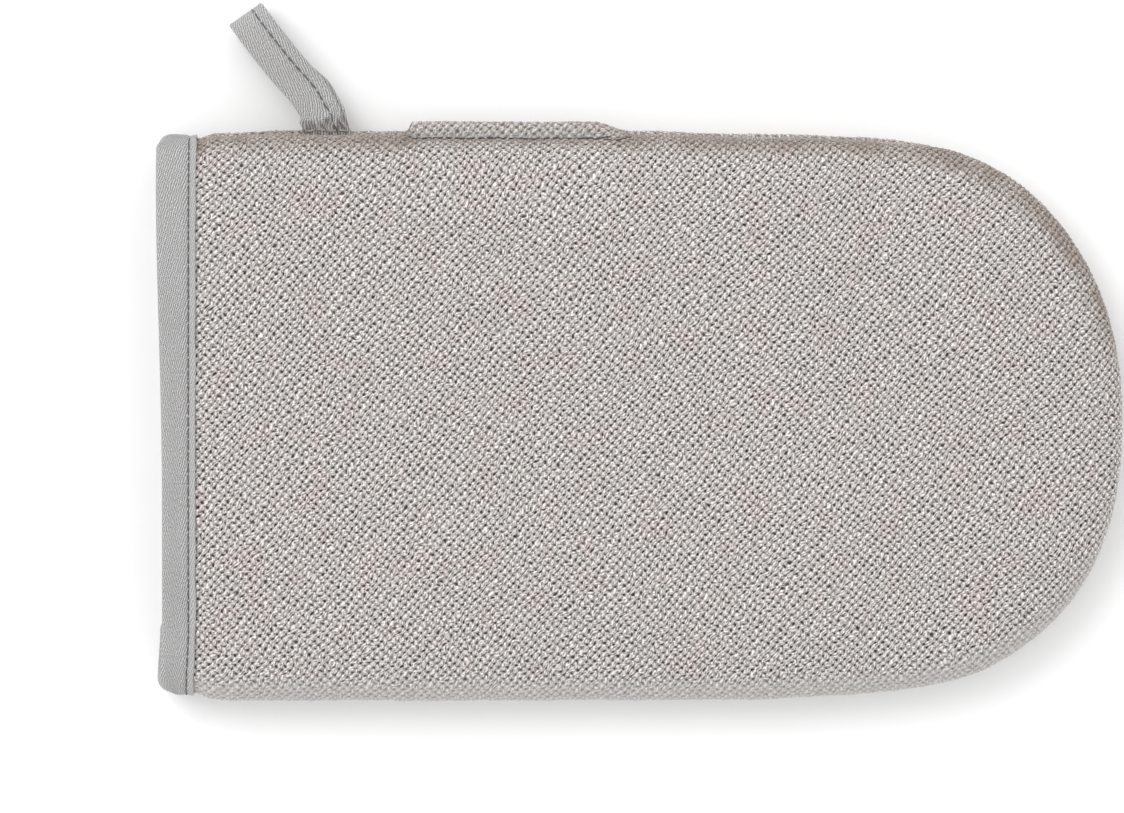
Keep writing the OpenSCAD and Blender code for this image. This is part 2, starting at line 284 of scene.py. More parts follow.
def settle(points):
    """The worn, uneven lie of the whole mitt: outline drift, a slanting mouth and soft hollows."""
    x, y, z = points.T
    top, share = y > 0, np.abs(y) / HALF_WIDTH
    above = smoothstep(z, SEAM_Z - 4, SEAM_Z + 4)
    narrowing = np.where(top, 1.0, 1.5) * np.exp(-(((x - 60) / 24) ** 2))
    swelling = np.where(top, 0.6 * smoothstep(x, -105, -80) * (1 - smoothstep(x, 0, 22)), 0)
    cuff_tuck = np.where(top, 0.3, 2.0) * (1 - smoothstep(x, CUFF_X, CUFF_X + 20))
    wobble = OUTLINE_WOBBLE[0] * waves(x, np.where(top, 40.0, -40.0), OUTLINE_WOBBLE[1], 3)
    drift = (swelling - narrowing - cuff_tuck + wobble) * share ** 2
    new_y = y + np.sign(y) * drift - 1.5 * smoothstep(x, 90, 119)
    slant = 0.15 + 1.6 * smoothstep(-y, -62, 20)
    slant = slant - 1.0 * smoothstep(-y, 51, 54) * (1 - above)
    corner = 2.2 * np.clip((share - 0.94) / 0.06, 0, 1) ** 2.4
    fold = 1 - smoothstep(x, CUFF_X, CUFF_X + 7)
    lower_corner = smoothstep(-y, 52, 72) * (1 - smoothstep(x, -108, -90))
    new_x = x + (slant + corner) * fold - 0.8 * lower_corner
    flatness = 1 - smoothstep(share, 0.75, 1.0)
    hollow = sum(depth * waves(x, y, length, seed)
                 for (depth, length), seed in ((BROAD_HOLLOWS, 5), (SMALL_HOLLOWS, 6)))
    new_z = z + above * hollow * (0.25 + 0.75 * flatness)
    # The +Y seam is turned over the edge outside the gap, so a line of the back shows beyond it
    free = 1 - smoothstep(x, GAP_START - 2, GAP_START) * (1 - smoothstep(x, GAP_END, GAP_END + 8))
    over = smoothstep(z, SEAM_Z - 2.6, SEAM_Z + 0.4) * (1 - smoothstep(z, SEAM_Z + 3, SEAM_Z + 8))
    over = over * smoothstep(y, HALF_WIDTH - 5, HALF_WIDTH - 1) * free * (1 - smoothstep(x, 60, 90))
    sewn_in = np.exp(-(((x - LOOP_ROOT_X) / 6.3) ** 4)) * over * (z > SEAM_Z)
    new_y = new_y - SEAM_TURN_IN * over - LOOP_NOTCH * sewn_in
    return np.stack([new_x, new_y, np.maximum(new_z + SEAM_TURN_UP * over, 0.02)], 1)


def lay(cloth, side, inset, tucked=0.0, ripple=0.0):
    """Roll flat cloth points over the edge of one face of a ply. Returns places, outward directions
    and each point's arc length from the seam."""
    roll = ROLLS[side, inset]
    distance, inward, along = seam_distance(cloth)
    distance = distance - inset
    arc = np.clip(distance + roll.extra, 0, roll.arc[-1])
    distance = arc - roll.extra
    at_inset, rise, run, climb = roll.at(arc)
    x = cloth[:, 0]
    weight = gap_weight(x, arc) * (cloth[:, 1] > 0)
    if inset == 0:
        fine, fin_inset, fin_rise = gap_profile(roll)
        near = (weight > 0) & (arc < fine[-1])
        weight = weight * near
        fin = (fin_inset, fin_rise, np.gradient(fin_inset, fine), np.gradient(fin_rise, fine))
        at_inset, rise, run, climb = (
            smooth + weight * (np.interp(arc, fine, raised) - smooth)
            for smooth, raised in zip((at_inset, rise, run, climb), fin)
        )
        size = np.maximum(np.hypot(run, climb), 1e-6)
        run, climb = run / size, climb / size
    else:
        at_inset = at_inset + 3.6 * weight * (1 - smoothstep(arc, 0, 14))
    if side == PALM:
        rise = rise * (roll.full * cuff_share(x) - inset) / (roll.full - inset)
    plan = cloth + inward * (at_inset - distance)[:, None]
    out = np.concatenate([-climb[:, None] * inward, side * run[:, None]], 1)
    places = np.concatenate([plan, (SEAM_Z + side * rise)[:, None]], 1)
    gripped = 1 - smoothstep(x, CUFF_X + GRIP_END, CUFF_X + GRIP_END + GRIP_RELEASE)
    push = -gripped * (GRIP_INSET + inset * (GRIP_SQUEEZE - 1))
    push = push - tucked * np.clip(1 - arc / 1.6, 0, 1) ** 2
    gather = np.sin(2 * math.pi * along / 7.3 + 2.5 * waves(along, side * 9.0, 30, 8))
    push = push + ripple * gather * np.exp(-arc / 5) * smoothstep(arc, 0, 1.5) * (1 - gripped)
    return places + out * push[:, None], out, arc


ROLLS = {
    (side, inset): Roll(side, inset)
    for side in (PALM, BACK)
    for ply in (SHELL_PLY, BARRIER_PLY, BATTING_PLY, LINING_PLY) for inset in ply
}


# ---- cloth grids and meshes

def cloth_grid(roll, inset, step, turn=0.0, waver=0.0):
    """A square grid inside one ply's cut edge. Returns grid places in steps, cloth places, the cells
    and the two chains of edge vertices: round the seam from -Y to +Y, and down the mouth."""
    start = CUFF_X + PLY_START
    reach = int((TIP_X + 30) * 2.1 / step / 2) + 2
    i, j = np.meshgrid(np.arange(-reach, reach + 1), np.arange(-reach, reach + 1), indexing="ij")
    i, j = i.ravel(), j.ravel()

    def place(a, b):
        flat_x = step * (a * math.cos(turn) - b * math.sin(turn))
        flat_y = step * (a * math.sin(turn) + b * math.cos(turn))
        return np.stack([
            flat_x + waver * waves(flat_x, flat_y, 38, 11),
            flat_y + waver * waves(flat_x, flat_y, 38, 12),
        ], 1)

    middle = place(i + 0.5, j + 0.5)
    width = HALF_WIDTH + roll.extra + 2
    close = np.flatnonzero(
        (middle[:, 0] > start) & (middle[:, 0] < TIP_X + roll.extra + 2)
        & (np.abs(middle[:, 1]) < width)
    )
    distance, _, _ = seam_distance(middle[close])
    kept = close[distance - inset + roll.extra > 0]
    row = 2 * reach + 1
    cells = np.stack([kept, kept + row, kept + row + 1, kept + 1], 1)
    used, cells = np.unique(cells, return_inverse=True)
    cells = cells.reshape(-1, 4)
    grid = np.stack([i[used], j[used]], 1)
    cloth = place(grid[:, 0].astype(float), grid[:, 1].astype(float))

    edges = np.concatenate([cells[:, [k, (k + 1) % 4]] for k in range(4)])
    key = np.sort(edges, 1)
    key = key[:, 0] * len(used) + key[:, 1]
    _, first, count = np.unique(key, return_index=True, return_counts=True)
    follow = dict(map(tuple, edges[first[count == 1]]))
    loop = [next(iter(follow))]
    while follow[loop[-1]] != loop[0]:
        loop.append(follow[loop[-1]])
    # The loop runs counter-clockwise: down the mouth from +Y to -Y, then round the seam
    loop = np.array(loop)
    corners = [
        np.hypot(cloth[loop, 0] - start, cloth[loop, 1] - way * (roll.half_width + roll.extra)).argmin()
        for way in (1, -1)
    ]
    loop = np.roll(loop, -corners[0])
    turn_at = (corners[1] - corners[0]) % len(loop)
    mouth, seam = loop[:turn_at + 1], np.append(loop[turn_at:], loop[0])
    distance, inward, _ = seam_distance(cloth[seam])
    cloth[seam] -= inward * (distance - inset + roll.extra)[:, None]
    cloth[mouth, 0] = start
    return grid, cloth, cells, seam, mouth


def zip_chains(first, second, points):
    """Triangles that fill the strip between two chains of vertices, which run the same way."""
    def places(chain):
        along = path_lengths(points[chain])
        return along / max(along[-1], 1e-9)

    p, q, i, j, faces = places(first), places(second), 0, 0, []
    while i < len(first) - 1 or j < len(second) - 1:
        if j == len(second) - 1 or (i < len(first) - 1 and p[i + 1] <= q[j + 1]):
            faces.append((first[i], second[j], first[i + 1]))
            i += 1
        else:
            faces.append((first[i], second[j], second[j + 1]))
            j += 1
    return faces


def mesh_piece(name, points, faces, material, **layers):
    """A Blender object from points in millimetres and groups of faces with 3 or 4 corners. Each layer
    of cloth coordinates has a row per point."""
    mesh = bpy.data.meshes.new(name)
    groups = [np.asarray(group, dtype=np.int64) for group in faces if len(group)]
    corners = np.concatenate([group.ravel() for group in groups])
    sizes = np.concatenate([np.full(len(group), group.shape[1]) for group in groups])
    mesh.vertices.add(len(points))
    mesh.vertices.foreach_set("co", (np.asarray(points) * MM).astype(np.float32).ravel())
    mesh.loops.add(len(corners))
    mesh.loops.foreach_set("vertex_index", corners.astype(np.int32))
    mesh.polygons.add(len(sizes))
    starts = np.concatenate([[0], np.cumsum(sizes)[:-1]])
    mesh.polygons.foreach_set("loop_start", starts.astype(np.int32))
    for key, values in layers.items():
        layer = mesh.uv_layers.new(name=key)
        layer.data.foreach_set("uv", np.asarray(values, dtype=np.float32)[corners].ravel())
    mesh.update(calc_edges=True)
    mesh.validate()
    work = bmesh.new()
    work.from_mesh(mesh)
    bmesh.ops.recalc_face_normals(work, faces=work.faces)
    work.to_mesh(mesh)
    work.free()
    mesh.shade_smooth()
    piece = bpy.data.objects.new(name, mesh)
    bpy.context.scene.collection.objects.link(piece)
    mesh.materials.append(material)
    return piece


def yarn_places(u, v):
    """Cloth coordinates in yarn widths, with the small shifts of slack yarns."""
    return (u + YARN_SHIFT * (waves(u, v, 2.9, 14, 24) + waves(u, 3 * v, 14, 15)),
            v + YARN_SHIFT * (waves(u, v, 2.9, 16, 24) + waves(3 * u, v, 14, 17)))


def yarn_lean(u, v):
    """Where crowns run together into slanting ridges: above 0 one way, below 0 the other."""
    return 0.08 + 0.16 * waves(u, v, 3.5, 18, 24)


def weave_height(u, v, lean):
    """Height of the weave: 1 at the crowns of even cells, -1 in the pits of odd ones."""
    size = 0.85 + 0.3 * cell_noise(np.floor(u), np.floor(v), 4)
    ridge = lean * np.cos(math.pi * u) * np.cos(math.pi * v)
    wave = np.sin(math.pi * u) * np.sin(math.pi * v) * size + ridge
    # Full crowns with narrow pits between them
    return 1 - 2 * np.maximum(0, (1 - wave) / 2) ** 1.7


def painted_roll_shading(arc, out, side, band):
    """Painted shade on the rolled edge's +Y-facing side, painted light and a weaker weave on its
    -Y-facing side, some of both on the gap's fin.
    """
    edge = 1 - smoothstep(arc, 6.5, 13)
    reach = 1 if side == PALM else 1 - smoothstep(arc, 0, 4)
    # Painted shade: the +Y-facing roll and the fin darken; painted light: the -Y-facing roll lightens
    top = edge * smoothstep(out[:, 1], 0.0, 0.35) * (1 - band) * reach + 0.35 * band
    low = edge * smoothstep(-out[:, 1], 0.1, 0.6) + 0.3 * band
    return np.stack([top, low], 1)


def ply_piece(name, side, ply, material, step, woven=False, inner_step=5.0):
    """One half of a ply as a closed sheet: a detailed outer face, a coarser inner one, and their rim.
    Only woven cloth has yarns in relief, and lies askew, tucked in and gathered at the seam."""
    ripple = 0.07 if woven else 0.0
    points, faces, chains, uvs, leans, tones = [], [], [], [], [], []
    count = 0
    for inset, grid_step, outer in ((ply[0], step, True), (ply[1], inner_step, False)):
        turn, waver, tucked = (side * WEAVE_TURN, 0.5, 0.4) if woven and outer else (0.0, 0.0, 0.0)
        grid, cloth, cells, seam, mouth = cloth_grid(ROLLS[side, inset], inset, grid_step, turn, waver)
        places, out, arc = lay(cloth, side, inset, tucked, ripple)
        uv = (grid + 0.5) * (grid_step / YARN) if outer else cloth / YARN
        lean = np.zeros((len(uv), 2))
        if woven and outer:
            uv = np.stack(yarn_places(*uv.T), 1)
            lean[:, 0] = yarn_lean(*uv.T)
            height = weave_height(*uv.T, lean[:, 0]) * RELIEF * smoothstep(arc, 0.1, 1.2)
            places = places + out * height[:, None]
        points.append(settle(places))
        uvs.append(uv)
        leans.append(lean)
        # Painted shade and painted light on the rolled edges and the gap's fin
        band = gap_weight(cloth[:, 0], arc) * (cloth[:, 1] > 0) * (1 - smoothstep(arc, 5, 6))
        tones.append(painted_roll_shading(arc, out, side, band))
        faces.append((cells if outer == (side == PALM) else cells[:, ::-1]) + count)
        chains.append((seam + count, mouth + count))
        count += len(places)
    points = np.concatenate(points)
    rim = []
    for first, second in zip(chains[0], chains[1]):
        rim += zip_chains(first, second, points)
    return mesh_piece(name, points, [*faces, rim], material, cloth=np.concatenate(uvs),
                      lean=np.concatenate(leans), tone=np.concatenate(tones))


def sweep_faces(count, size, first=0, closed=False):
    """Quads along a row of matching ring sections, and the fans that close its ends if it has any."""
    index = first + np.arange(count * size).reshape(count, size)
    near, far = (index, np.roll(index, -1, 0)) if closed else (index[:-1], index[1:])
    quads = np.stack([near, np.roll(near, -1, 1), np.roll(far, -1, 1), far], 2).reshape(-1, 4)
    ends = () if closed else (index[0], index[-1])
    return quads, [(end[0], end[k], end[k + 1]) for end in ends for k in range(1, size - 1)]


def tubes(name, lines, radius, material, sides=8):
    """Separate round threads along lines of points, with rounded ends."""
    points, quads, caps = [], [], []
    turn = np.linspace(0, 2 * math.pi, sides, endpoint=False)[None, :, None]
    for line in lines:
        ahead = normalised(np.gradient(line, axis=0))
        across = normalised(np.cross(ahead, [0.13, 0.27, 0.95]))
        up = np.cross(across, ahead)
        girth = radius * np.sqrt(np.maximum(0.06, 1 - np.abs(np.linspace(-1, 1, len(line))) ** 6))
        circle = np.cos(turn) * across[:, None, :] + np.sin(turn) * up[:, None, :]
        line_quads, line_caps = sweep_faces(len(line), sides, first=sides * sum(map(len, points)))
        points.append(line[:, None, :] + girth[:, None, None] * circle)
        quads.append(line_quads)
        caps += line_caps
    points = np.concatenate(points).reshape(-1, 3)
    return mesh_piece(name, points, [np.concatenate(quads), caps], material)


def tape_piece(name, rings, material, uv, tone, closed=False):
    """A strip of tape from matching sections: rings is sections x points x 3, uv and tone x 2."""
    return mesh_piece(name, rings.reshape(-1, 3), sweep_faces(*rings.shape[:2], closed=closed), material,
                      cloth=uv.reshape(-1, 2), tone=tone.reshape(-1, 2))


# ---- binding

def form_section(x, turn, inset):
    """Points of the form's cross section at x, as in the CAD: over the palm from +Y and back below."""
    side = np.where(turn <= math.pi, PALM, BACK)
    lift = np.abs(np.sin(turn)) ** (2 / SECTION_POWER)
    lift = np.where(side == BACK, np.minimum(1, BACK_FULLNESS * lift), lift)
    full = np.where(side == PALM, PALM_RISE * cuff_share(x), BACK_DROP)
    y = (HALF_WIDTH - inset) * np.sign(np.cos(turn)) * np.abs(np.cos(turn)) ** (2 / SECTION_POWER)
    return np.stack([x + 0 * y, y, SEAM_Z + side * (full - inset) * lift], -1)


def mouth_ring():
    """Angles once round the mouth and their arc lengths, evenly spaced."""
    turn = np.linspace(0, 2 * math.pi, 8001)
    along = path_lengths(form_section(CUFF_X, turn, 0.0))
    count = int(round(along[-1] / MOUTH_STEP))
    at = along[-1] * np.arange(count) / count
    return np.interp(at, along, turn), at


def binding_section():
    """The binding's U as distances from the cuff edge and insets: down the outer leg, over the fold,
    and up the inner one, then back along its inside."""
    def mirrored(points):
        return points[::-1] * [1, -1] + [0, WALL]

    bend = 1.1
    lip = [[LEG, 0.62], [LEG, 0.28], [LEG - 0.1, 0.06]]
    leg = np.arange(LEG - 0.25, bend, -MOUTH_STEP)
    turn = np.linspace(math.pi / 2, 0, 5)[1:]
    over = bend * (1 - np.stack([np.cos(turn), np.sin(turn)], 1))
    edge = np.arange(bend + MOUTH_STEP, WALL - bend, MOUTH_STEP)
    outer = np.concatenate([lip, np.stack([leg, 0 * leg], 1), over])
    core = np.array([[distance, BINDING_TAPE] for distance in (1.2, 5.0, LEG - 0.3)])
    return np.concatenate([outer, np.stack([0 * edge, edge], 1), mirrored(outer), mirrored(core), core])


def binding_surface(turn, distance, inset):
    points = form_section(CUFF_X + distance, turn, inset)
    return settle(points.reshape(-1, 3)).reshape(points.shape)


def binding_pieces(tape, thread):
    """The binding, its stitches and the tape's cut size."""
    turn, along = mouth_ring()
    section = binding_section()
    width = path_lengths(section)
    here, distance = np.meshgrid(along, section[:, 0], indexing="ij")
    inset, across = np.broadcast_to(section[:, 1], here.shape), np.broadcast_to(width, here.shape)
    outside = np.where(inset < WALL / 2, 1.0, -1.0)
    skin = (np.minimum(inset, WALL - inset) < 0.3) | (distance < 0.8)
    # The sewing pulls a groove into the tape, which swells towards the fold
    pull = 0.3 + 0.14 * np.cos(2 * math.pi * here / BINDING_PITCH)
    groove = pull * np.exp(-(((distance - BINDING_STITCH) / 0.55) ** 2))
    swell = 0.22 * np.sin(math.pi * np.clip(distance / BINDING_STITCH, 0, 1))
    swell = swell * (0.7 + 0.5 * waves(here, outside * 8, 9, 21))
    inset = inset - outside * np.where(skin & (distance > 0.5), swell - groove, 0)
    distance = distance + np.where(distance > LEG - 1, 0.12 * waves(here, outside * 9, 12, 22), 0)
    # Painted light: the strip beyond the stitches is made lighter, with weaker ribs
    flat = smoothstep(distance, BINDING_STITCH + 0.2, BINDING_STITCH + 0.7) * skin
    binding = tape_piece(
        "cuff_binding_cloth", binding_surface(turn[:, None], distance, inset), tape,
        np.stack([here, across], 2), np.stack([0 * flat, flat], 2), closed=True)

    stitches = []
    for face, depth in ((1, -0.02), (-1, WALL + 0.02)):
        for n in range(int(along[-1] / BINDING_PITCH)):
            t = np.linspace(n + 0.04, n + 0.96, STITCH_POINTS) * BINDING_PITCH
            stitches.append(binding_surface(
                np.interp(t, along, turn), BINDING_STITCH, depth + face * (0.1 + STITCH_DIP)))
    sewing = tubes("cuff_binding_thread", stitches, DARK_THREAD, thread)
    return binding, sewing, (width[-1] / 2 - BINDING_TAPE, along[-1])


# ---- loop

def loop_frame(s):
    """Centre and across direction of the loop's tape in its own flat plane, as in the CAD."""
    start, end = math.radians(LOOP_START), math.radians(LOOP_END)
    turn = (end - start) / LOOP_CURVE
    inside = np.clip(s, 0, LOOP_CURVE)
    heading = start + turn * inside
    centre = np.stack([(np.sin(heading) - math.sin(start)) / turn,
                       -(np.cos(heading) - math.cos(start)) / turn], -1)
    centre += np.minimum(s, 0)[:, None] * np.array([math.cos(start), math.sin(start)])
    centre += np.maximum(s - LOOP_CURVE, 0)[:, None] * np.array([math.cos(end), math.sin(end)])
    share = smoothstep(s, 0, LOOP_CURVE)[:, None]
    square = np.stack([np.sin(heading), -np.cos(heading)], -1)
    across = (1 - share) * np.array([1 / math.sin(start), 0]) + share * square
    return centre, across


def loop_points(s, v, z):
    centre, across = loop_frame(s)
    flat = centre + v[:, None] * across
    droop = math.radians(LOOP_DROOP)
    out, up = flat[:, 1] * math.cos(droop), z - flat[:, 1] * math.sin(droop)
    return np.stack([LOOP_ROOT_X + flat[:, 0], LOOP_HINGE_Y + out, SEAM_Z + up], 1)


def loop_half_height(s):
    return LOOP_ROOT + (LOOP_BEND - LOOP_ROOT) * smoothstep(s, 0, LOOP_REACH)


def loop_path():
    """Side view of the middle of the tape, out along the upper ply, round the end bend and back."""
    s = np.linspace(-LOOP_HIDDEN, LOOP_REACH, 200)
    upper = np.stack([s, loop_half_height(s) - LOOP_TAPE / 2], 1)
    turn = np.linspace(math.pi / 2, -math.pi / 2, 80)[1:-1]
    bend = (LOOP_BEND - LOOP_TAPE / 2) * np.stack([np.cos(turn), np.sin(turn)], 1) + [LOOP_REACH, 0]
    path = np.concatenate([upper, bend, upper[::-1] * [1, -1]])
    along = path_lengths(path)
    at = np.linspace(0, along[-1], int(along[-1] / LOOP_STEP))
    place = points_at(at, along, path)
    ahead = normalised(np.gradient(place, axis=0))
    return place, np.stack([-ahead[:, 1], ahead[:, 0]], 1), at


def loop_surface(path, normal, at, v, height):
    """Points of the tape's cloth at place v across it and height above its middle."""
    reach = path[:, 0]
    s, z = (path + normal * np.reshape(height, (-1, 1))).T
    upper = smoothstep(path[:, 1], -1, 1)
    near_root = np.exp(-((reach - 0.5) / 4) ** 2)
    slip = 0.9 * (1 - upper) * smoothstep(reach, -2, 4) * (1 - smoothstep(reach, 7, 16))
    aside = slip - 0.9 * smoothstep(reach, 6, LOOP_REACH) + 0.25 * waves(reach, 0 * v, 15, 33)
    wave = 0.2 * waves(at, v, 17, 31) + near_root * 0.6 * waves(at, 3 * v, 6, 32)
    crumple = near_root * 0.45 * waves(at, v, 5, 34)
    spread = 0.14 * (1 - smoothstep(reach, -1, 6)) * np.minimum(v, 0)
    seated = 1.5 * (1 - smoothstep(reach, -3, 4))
    return loop_points(s, v + spread + aside + crumple, z + seated + wave * (normal[:, 1] ** 2))


def loop_pieces(tape, thread):
    """The folded loop, its stitches and the tape's cut size."""
    path, normal, at = loop_path()
    half, thick, radius = LOOP_WIDTH / 2, LOOP_TAPE / 2, 0.42
    flat = np.arange(-half + radius, half - radius + 0.2, LOOP_STEP)
    corner = np.linspace(0, math.pi / 2, 4)[1:]
    quarter = np.array([half, thick]) - radius + radius * np.stack([np.sin(corner), np.cos(corner)], 1)
    top = np.concatenate([quarter[::-1] * [-1, 1], np.stack([flat, thick + 0 * flat], 1), quarter])
    section = np.concatenate([top, -top])
    size = (len(path), len(section))
    rows = np.repeat(np.arange(len(path)), len(section))
    v, height = np.tile(section, (len(path), 1)).T
    above = height > 0
    stitched = np.exp(-(((v - LOOP_STITCH) / 0.5) ** 2))
    pull = 0.22 + 0.1 * np.cos(2 * math.pi * at[rows] / LOOP_PITCH)
    edge_rib = 0.1 * np.exp(-((np.abs(v) - half + 0.7) / 0.35) ** 2)
    height = height + np.where(above, edge_rib - pull * stitched, 0)
    points = loop_surface(path[rows], normal[rows], at[rows], v, height)
    uv = np.stack([at[rows], np.tile(path_lengths(section), len(path))], 1)
    # Painted shade at the loop's root, where it dives into the seam
    root = path[rows, 0] + 0.8 * waves(at[rows], v, 5, 35)
    root_shade = (1 - smoothstep(root, 0.3, 2.6)) * (0.6 + 0.5 * waves(at[rows], 2 * v, 4, 36))
    tone = np.stack([np.clip(root_shade, 0, 1), 0 * root_shade], 1)
    strap = tape_piece("hanging_loop_cloth", points.reshape(*size, 3), tape, uv, tone)

    lines = []
    for start in np.arange(1.0, at[-1] - LOOP_PITCH, LOOP_PITCH):
        t = np.linspace(start + 0.04 * LOOP_PITCH, start + 0.96 * LOOP_PITCH, STITCH_POINTS)
        lines.append(loop_surface(points_at(t, at, path), points_at(t, at, normal), t,
                                  np.full(STITCH_POINTS, LOOP_STITCH), thick + 0.02 - STITCH_DIP))
    return strap, tubes("loop_edge_thread", lines, DARK_THREAD, thread), (LOOP_WIDTH, at[-1])


# ---- seam threads

def stitch_line(points, pitch, fill=0.8, dip=0.25, downwards=None):
    """Separate stitches along a fine line of points, with ends that dive along downwards."""
    along = path_lengths(points)
    count = max(1, int(along[-1] / pitch))
    lines = []
    for n in range(count):
        t = np.linspace(n + (1 - fill) / 2, n + (1 + fill) / 2, STITCH_POINTS) * along[-1] / count
        line = points_at(t, along, points)
        if downwards is not None:
            sink = dip * np.abs(np.linspace(-1, 1, STITCH_POINTS)) ** 3
            line = line + points_at(t, along, downwards) * sink[:, None]
        lines.append(line)
    return lines


def seam_row(way, x_from, x_to, count=400):
    x = np.linspace(x_from, x_to, count)
    return np.stack([x, np.full(count, way * HALF_WIDTH)], 1)


def seam_thread(name, runs, inset, radius, material):
    """Stitches in the side seam, along runs of its straight part and round the finger end."""
    lines = []
    for run in [*runs, OUTLINE[OUTLINE[:, 0] > END_X]]:
        _, inward, _ = seam_distance(run)
        points = np.column_stack([run + inward * inset, np.full(len(run), SEAM_Z)])
        lines += stitch_line(settle(points), SEAM_PITCH)
    return tubes(name, lines, radius, material)


def gap_thread(material):
    """Topstitching along the foot of the folded fin on both faces, with a back tack at its far end."""
    lines = []
    runs = ((GAP_START + 0.6, GAP_END + 6.5, 0.0), (GAP_END - 6.5, GAP_END + 0.5, 0.7))
    for side in (PALM, BACK):
        for x_from, x_to, tack in runs:
            row = seam_row(1, x_from, x_to)
            x = row[:, 0]
            arc = GAP_STITCH_ARC - 0.25 * tack + 0.45 * waves(x, 0 * x, 9, 41)
            if not tack:
                arc = arc + 1.5 * smoothstep(x, GAP_END - 6, GAP_END + 2)
            arc = arc - 2.2 * smoothstep(x, GAP_END + 2, GAP_END + 7)
            _, inward, _ = seam_distance(row)
            places, out, _ = lay(row + inward * (arc - ROLLS[side, 0].extra)[:, None], side, 0)
            points = settle(places + out * (0.12 + 0.2 * tack))
            lines += stitch_line(points, 2.6, fill=0.95, dip=0.15, downwards=-out)
    return tubes("gap_closure_thread", lines, GAP_THREAD, material)


def loop_root_thread(material):
    """Two rows of stitches across the loop's root, above and below the seam."""
    lines = []
    for row in (-1, 1):
        x = np.linspace(LOOP_ROOT_X - 5.2, LOOP_ROOT_X + 5.2, 60)
        y = HALF_WIDTH + 0.5 - 0.5 * (row < 0) + 0.3 * waves(x, 0 * x, 6, 43)
        lines += stitch_line(np.stack([x, y, SEAM_Z + 1.5 + row * 2.0 + 0 * x], 1), 2.6, fill=0.85)
    return tubes("loop_root_thread", lines, SEAM_THREAD, material)


# ---- materials

def paint(red, green, blue):
    """Linear colour from 0 to 255 screen values."""
    return tuple(((c / 255 + 0.055) / 1.055) ** 2.4 for c in (red, green, blue))


class Finish:
    """A Principled material with short ways to wire up its pattern."""

    def __init__(self, name, colour, roughness, metallic=0.0, sheen=0.0):
        self.material = bpy.data.materials.new(name)
        self.material.use_nodes = True
        self.tree = self.material.node_tree
        self.shader = self.tree.nodes["Principled BSDF"]
        for socket, value in (("Base Color", (*colour, 1)), ("Roughness", roughness),
                              ("Metallic", metallic), ("Sheen Weight", sheen),
                              ("Specular IOR Level", 0.25)):
            self.shader.inputs[socket].default_value = value

    def put(self, socket, value):
        if isinstance(value, bpy.types.NodeSocket):
            self.tree.links.new(value, socket)
        elif value is not None:
            socket.default_value = value

    def add(self, kind, inputs=(), out=0, **settings):
        node = self.tree.nodes.new(kind)
        for name, value in settings.items():
            setattr(node, name, value)
        for name, value in (inputs.items() if isinstance(inputs, dict) else enumerate(inputs)):
            self.put(node.inputs[name], value)
        return node.outputs[out]

    def math(self, operation, *inputs):
        return self.add("ShaderNodeMath", inputs, operation=operation)

    def plus(self, first, second):
        return self.math("ADD", first, second)

    def minus(self, first, second):
        return self.math("SUBTRACT", first, second)

    def times(self, first, second):
        return self.math("MULTIPLY", first, second)

    def scale(self, value, factor, offset=0.0):
        """The value times a factor, plus an offset."""
        return self.math("MULTIPLY_ADD", value, factor, offset)

    def range(self, value, low, high, new_low, new_high):
        """The value eased from one range to another."""
        return self.add("ShaderNodeMapRange", (value, low, high, new_low, new_high),
                        interpolation_type="SMOOTHSTEP")

    def mix(self, factor, first, second, kind="MIX"):
        node = self.tree.nodes.new("ShaderNodeMix")
        node.data_type, node.blend_type = "RGBA", kind
        for socket, value in ((0, factor), (6, first), (7, second)):
            self.put(node.inputs[socket], (*value, 1) if isinstance(value, tuple) else value)
        return node.outputs[2]

    def tint_and_shade(self, colour, shade, contrast=None):
        """Gives the surface a colour times a shade, drawn towards 1 where its contrast is low. The shade
        is painted shade and light in some finishes and random tone in others.
        """
        if contrast is not None:
            shade = self.scale(self.minus(shade, 1.0), contrast, 1.0)
        node = self.tree.nodes.new("ShaderNodeVectorMath")
        node.operation = "SCALE"
        self.put(node.inputs[0], colour)
        self.put(node.inputs["Scale"], shade)
        self.put(self.shader.inputs["Base Color"], node.outputs[0])

    def layer(self, name):
        """The two numbers of a layer of cloth coordinates."""
        uv = self.add("ShaderNodeUVMap", uv_map=name)
        split = self.tree.nodes.new("ShaderNodeSeparateXYZ")
        self.put(split.inputs[0], uv)
        return split.outputs[0], split.outputs[1]

    def join(self, x, y, z=0.0):
        return self.add("ShaderNodeCombineXYZ", (x, y, z))

    def noise(self, vector, scale, detail=2.0):
        return self.add("ShaderNodeTexNoise", {"Vector": vector, "Scale": scale, "Detail": detail})

    def random(self, x, y):
        return self.add("ShaderNodeTexWhiteNoise", {"Vector": self.join(x, y, 0.5)})

    def bump(self, height, distance, strength=1.0):
        inputs = {"Height": height, "Distance": distance, "Strength": strength}
        normal = self.add("ShaderNodeBump", inputs)
        self.put(self.shader.inputs["Normal"], normal)

    def place(self):
        """Place on the resting object, in metres."""
        return self.add("ShaderNodeTexCoord", out=3)


def crown(finish, across, along):
    """Rounded top of one yarn where it passes over another."""
    wide, long = (finish.math("MAXIMUM", finish.minus(1.0, finish.times(place, place)), 0.0)
                  for place in (across, along))
    return finish.times(finish.math("SQRT", wide), long)


